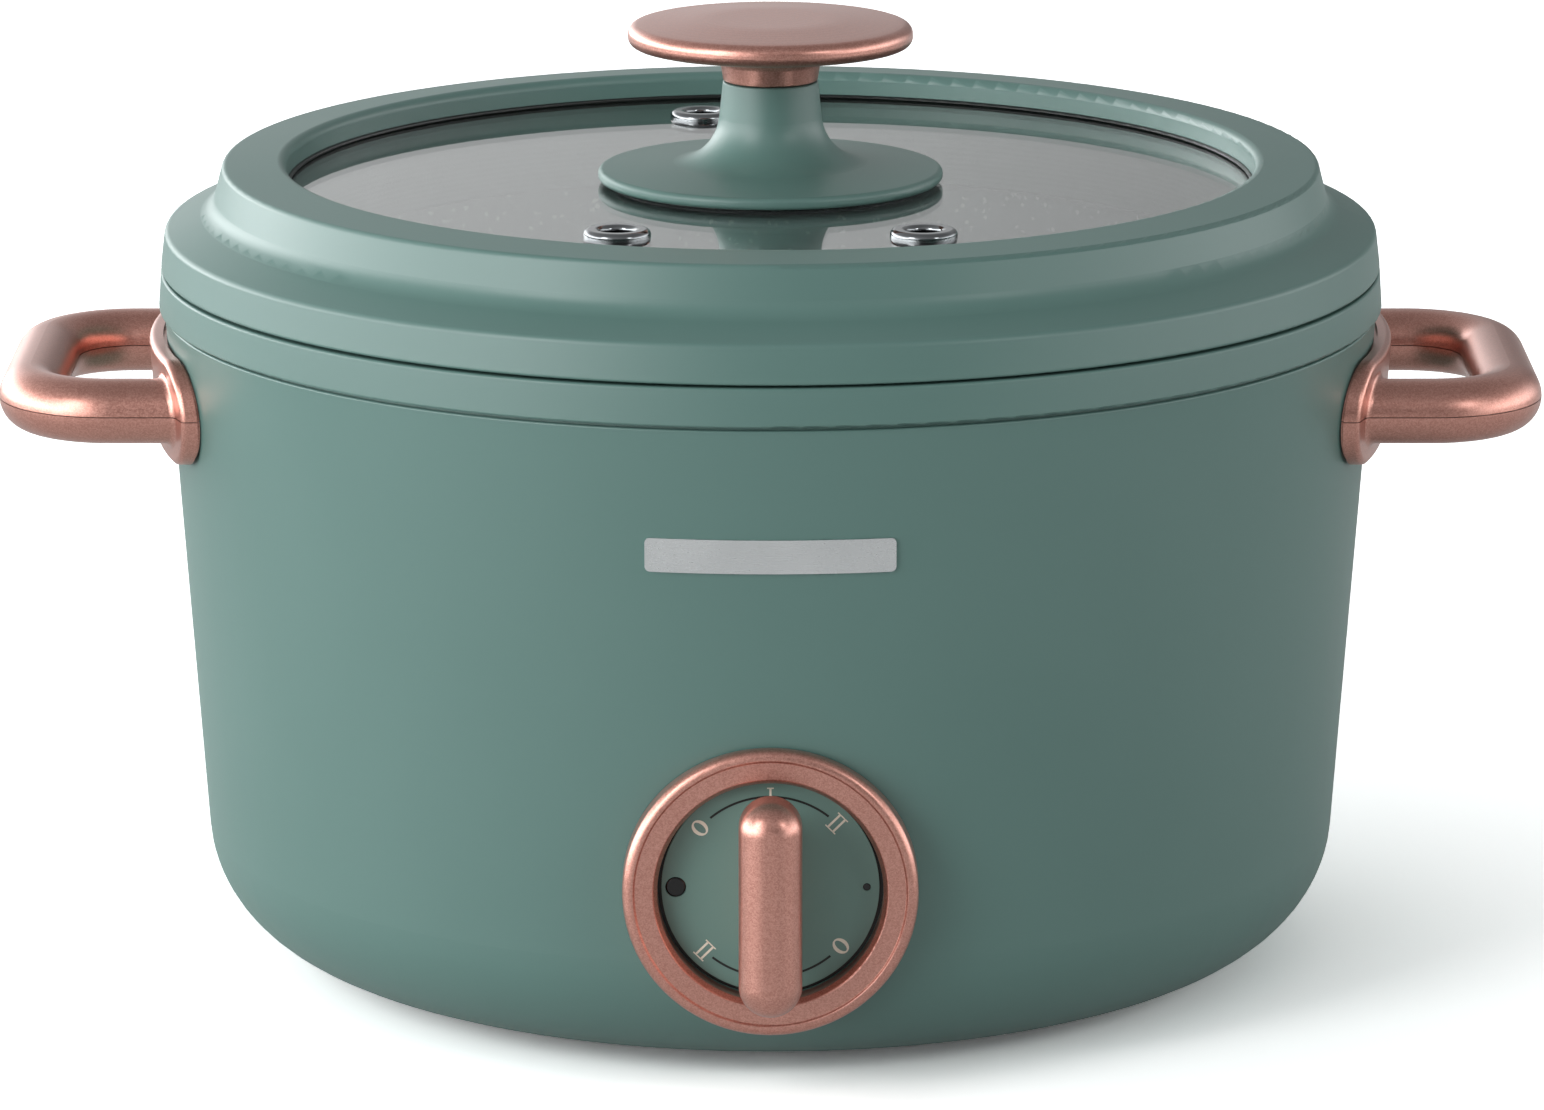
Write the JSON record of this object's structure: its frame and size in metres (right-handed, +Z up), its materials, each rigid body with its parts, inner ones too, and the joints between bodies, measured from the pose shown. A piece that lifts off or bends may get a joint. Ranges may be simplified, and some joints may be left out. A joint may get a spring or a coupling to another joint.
{
  "type": "slow cooker",
  "caption": "Round slow cooker with a coned housing, lift-out pot, glass lid with a mushroom knob, front dial in a ring and two bar handles.",
  "frame": {"origin": "on the table, under the centre of the round body", "axes": "+Z up, -Y towards the dial, +X to the right of someone facing the dial"},
  "size_m": [0.365, 0.3067, 0.2257],
  "materials": {
    "green_plastic": "satin moulded plastic, grey green",
    "copper_lacquer": "satin rose copper lacquer over moulded plastic",
    "liner_steel": "pressed coated steel sheet",
    "screw_steel": "zinc plated steel",
    "cast_aluminium": "die cast, turned face",
    "element_sheath": "oxidised steel sheath",
    "fuse_ceramic": "heat resistant sleeve",
    "black_lens": "smoked lens",
    "circuit_board": "solder mask",
    "lamp_resin": "clear tinted resin",
    "switch_plastic": "glass filled nylon",
    "brass": "bare brass",
    "badge_metal": "blank satin plate",
    "black_plastic": "fine moulded texture",
    "dark_nylon": "satin heat resistant nylon",
    "foot_rubber": "matt rubber",
    "silicone": "satin silicone",
    "tempered_glass": "clear tempered glass",
    "chrome": "bright rolled chrome",
    "nonstick_aluminium": "grey non-stick coating on aluminium",
    "wire_brown": "insulation",
    "wire_blue": "insulation",
    "wire_white": "glass fibre sleeve",
    "wire_green": "insulation, green with yellow"
  },
  "bodies": {
    "base": {"outer_housing": "green_plastic", "top_collar": "green_plastic", "heat_liner": "liner_steel", "liner_screws": "screw_steel", "heating_element": "element_sheath", "heating_plate": "cast_aluminium", "plate_standoffs": "screw_steel", "plate_screws": "screw_steel", "thermostat_housing": "liner_steel", "probe_spring": "screw_steel", "thermal_fuse": "fuse_ceramic", "fuse_clip": "liner_steel", "dial_bezel": "copper_lacquer", "dial_face": "green_plastic", "lamp_lens_large": "black_lens", "lamp_lens_small": "black_lens", "lamp_board": "circuit_board", "lamp_leds": "lamp_resin", "switch_body": "switch_plastic", "switch_cover": "switch_plastic", "switch_contacts": "brass", "switch_screws": "screw_steel", "front_badge": "badge_metal", "handle_right_upper": "copper_lacquer", "handle_right_lower": "copper_lacquer", "handle_left_upper": "copper_lacquer", "handle_left_lower": "copper_lacquer", "handle_backing_plates": "liner_steel", "handle_screws": "screw_steel", "power_inlet": "black_plastic", "inlet_pins": "brass", "inlet_screws": "screw_steel", "base_cover": "black_plastic", "base_screws": "screw_steel", "rubber_feet": "foot_rubber", "earth_tag": "liner_steel", "wire_live": "wire_brown", "wire_neutral": "wire_blue", "wire_switched": "wire_white", "wire_earth": "wire_green"},
    "inner_pot": {"inner_pot": "nonstick_aluminium"},
    "lid": {"lid_rim": "green_plastic", "glass_gasket": "silicone", "lid_glass": "tempered_glass", "lid_inner_ring": "dark_nylon", "vent_eyelets": "chrome", "lid_ring_screws": "screw_steel", "knob_gasket": "silicone", "knob_base": "green_plastic", "knob_cap": "copper_lacquer", "knob_screw": "screw_steel", "knob_washer": "screw_steel"},
    "control_knob": {"control_knob": "copper_lacquer", "switch_shaft": "screw_steel", "switch_cam": "switch_plastic"},
    "thermostat_probe": {"probe_cap": "cast_aluminium", "probe_stem": "screw_steel"}
  },
  "joints": [
    {"name": "pot_lift", "type": "slide", "parent": "base", "child": "inner_pot", "axis": [0, 0, 1], "range_m": [0, 0.13]},
    {"name": "lid_lift", "type": "slide", "parent": "inner_pot", "child": "lid", "axis": [0, 0, 1], "range_m": [0, 0.12]},
    {"name": "dial_turn", "type": "hinge", "parent": "base", "child": "control_knob", "pos_m": [0, -0.1365, 0.0508], "axis": [0, -1, 0], "range_deg": [-45, 45]},
    {"name": "probe_press", "type": "slide", "parent": "base", "child": "thermostat_probe", "axis": [0, 0, 1], "range_m": [-0.002, 0], "stiffness_N_per_m": 400, "springref_m": 0.003, "deforming": ["probe_spring"]}
  ]
}
